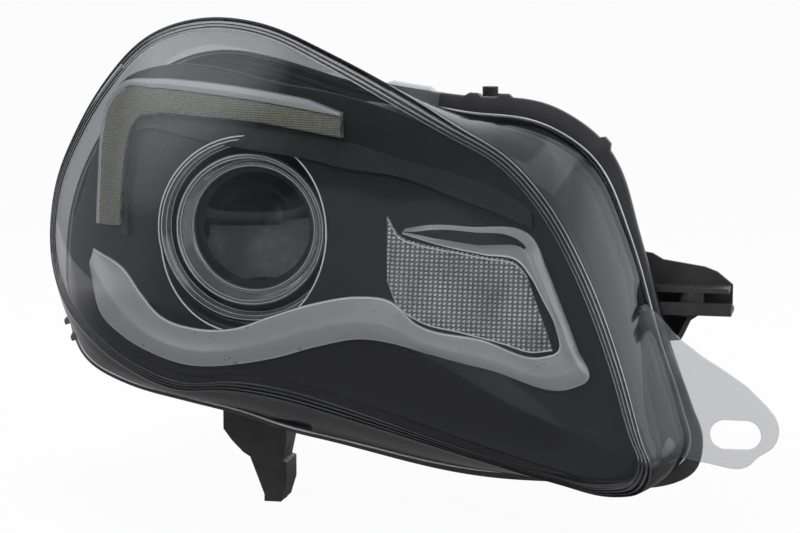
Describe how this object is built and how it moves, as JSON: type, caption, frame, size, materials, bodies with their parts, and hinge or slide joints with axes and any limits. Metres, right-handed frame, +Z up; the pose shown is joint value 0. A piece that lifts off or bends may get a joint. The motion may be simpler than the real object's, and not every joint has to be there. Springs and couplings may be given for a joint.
{
  "type": "car headlight assembly",
  "caption": "Swept-back car headlight with a round projector, an L-shaped daytime light guide, a fluted turn signal and aiming gear in a black housing.",
  "frame": {"origin": "on the axis of the inner arm's bolt sleeve, 5 mm below its upper face", "axes": "+X towards the middle of the car (the grille side), -Y forwards, +Z up along the bolt"},
  "size_m": [0.527, 0.2991, 0.3339],
  "materials": {
    "black_moulding": "satin, fine grained polypropylene",
    "lens_clear": "clear hard-coated polycarbonate",
    "gloss_black": "piano black",
    "satin_silver": "satin metallised",
    "bright_chrome": "bright metallised",
    "guide_clear": "finely prismed light guide",
    "flute_clear": "clear fluted",
    "board_green": "circuit board",
    "black_rubber": "matt",
    "red_rubber": "matt silicone",
    "optic_glass": "polished",
    "amber_glass": "amber coated",
    "cast_metal": "as cast",
    "steel": "zinc plated",
    "white_nylon": "natural nylon",
    "black_nylon": "glass-filled nylon",
    "brass": "bare",
    "ceramic": "igniter moulding"
  },
  "bodies": {
    "lamp": {"housing": "black_moulding", "housing_back": "black_moulding", "inner_arm": "black_moulding", "lower_leg": "black_moulding", "outer_lens": "lens_clear", "lens_tab": "lens_clear", "lens_seal": "black_rubber", "main_bezel": "gloss_black", "bezel_ring": "satin_silver", "drl_light_guide": "guide_clear", "drl_trim": "bright_chrome", "drl_led_board": "board_green", "wing_trim": "satin_silver", "wing_insert": "gloss_black", "turn_lens": "flute_clear", "turn_reflector": "bright_chrome", "pivot_stud": "steel", "levelling_motor": "black_nylon", "motor_screws": "steel", "rear_cover_seal": "black_rubber", "ballast": "cast_metal", "ballast_gasket": "black_rubber", "ballast_screws": "steel", "led_driver": "black_nylon", "driver_screws": "steel", "main_connector": "black_nylon", "connector_pins": "brass", "vent_caps": "black_rubber", "arm_sleeve": "steel", "leg_insert": "brass", "ear_sleeve": "steel", "ear_bracket": "black_moulding", "ear_screws": "steel"},
    "cup": {"pivot_cup": "white_nylon"},
    "beam": {"carrier_frame": "black_nylon", "projector_glass": "optic_glass", "projector_ring": "bright_chrome", "lens_holder": "cast_metal", "projector_reflector": "cast_metal", "shutter_carrier": "steel", "shutter_pin": "steel", "shutter_solenoid": "black_nylon", "xenon_bulb": "ceramic", "projector_screws": "steel"},
    "flap": {"shutter_flap": "steel"},
    "retainer": {"bulb_retainer": "steel"},
    "spindle": {"levelling_spindle": "white_nylon"},
    "adjuster": {"height_adjuster": "white_nylon"},
    "slider": {"aim_slider": "steel"},
    "screw": {"aim_screw": "white_nylon"},
    "knob": {"aim_knob": "black_nylon"},
    "cover": {"rear_cover": "black_moulding"},
    "turn_holder": {"turn_bulb_holder": "white_nylon", "turn_bulb": "amber_glass", "turn_holder_seal": "red_rubber"}
  },
  "joints": [
    {"name": "aim_yaw", "type": "hinge", "parent": "lamp", "child": "cup", "pos_m": [-0.36, 0.07, 0.072], "axis": [0, 0, 1], "range_deg": [-2, 2]},
    {"name": "level_tilt", "type": "hinge", "parent": "cup", "child": "beam", "pos_m": [-0.36, 0.07, 0.072], "axis": [1, 0, 0], "range_deg": [-3, 3]},
    {"name": "spindle_slide", "type": "slide", "parent": "lamp", "child": "spindle", "axis": [0, 1, 0], "range_m": [-0.0052, 0.0052]},
    {"name": "aim_slide", "type": "slide", "parent": "lamp", "child": "slider", "axis": [0, 1, 0], "range_m": [-0.0073, 0.0073]},
    {"name": "adjuster_turn", "type": "hinge", "parent": "lamp", "child": "adjuster", "pos_m": [-0.36, 0.16, -0.025], "axis": [0, 1, 0], "continuous": true},
    {"name": "aim_screw_turn", "type": "hinge", "parent": "lamp", "child": "screw", "pos_m": [-0.154, 0.11, 0.072], "axis": [0, 1, 0], "continuous": true},
    {"name": "aim_knob_turn", "type": "hinge", "parent": "lamp", "child": "knob", "pos_m": [-0.154, 0.12837, 0.095], "axis": [0, 0, 1], "continuous": true},
    {"name": "shutter_flip", "type": "hinge", "parent": "beam", "child": "flap", "pos_m": [-0.293, 0.049, 0.009], "axis": [1, 0, 0], "range_deg": [0, 35], "stiffness_Nm_per_rad": 0.01, "springref_deg": -17.19},
    {"name": "bulb_retainer_twist", "type": "hinge", "parent": "beam", "child": "retainer", "pos_m": [-0.293, 0.124, 0.033], "axis": [0, 1, 0], "range_deg": [0, 30]},
    {"name": "rear_cover_twist", "type": "hinge", "parent": "lamp", "child": "cover", "pos_m": [-0.293, 0.18, 0.033], "axis": [0, 1, 0], "range_deg": [0, 40]},
    {"name": "turn_holder_twist", "type": "hinge", "parent": "lamp", "child": "turn_holder", "pos_m": [-0.13, 0.1, 0.008], "axis": [0, 1, 0], "range_deg": [0, 45]}
  ],
  "couplings": [
    {"joint": "spindle_slide", "follows": "level_tilt", "m_per_rad": 0.097},
    {"joint": "aim_slide", "follows": "aim_yaw", "m_per_rad": 0.206},
    {"joint": "aim_knob_turn", "follows": "aim_screw_turn", "ratio": 1.6}
  ]
}
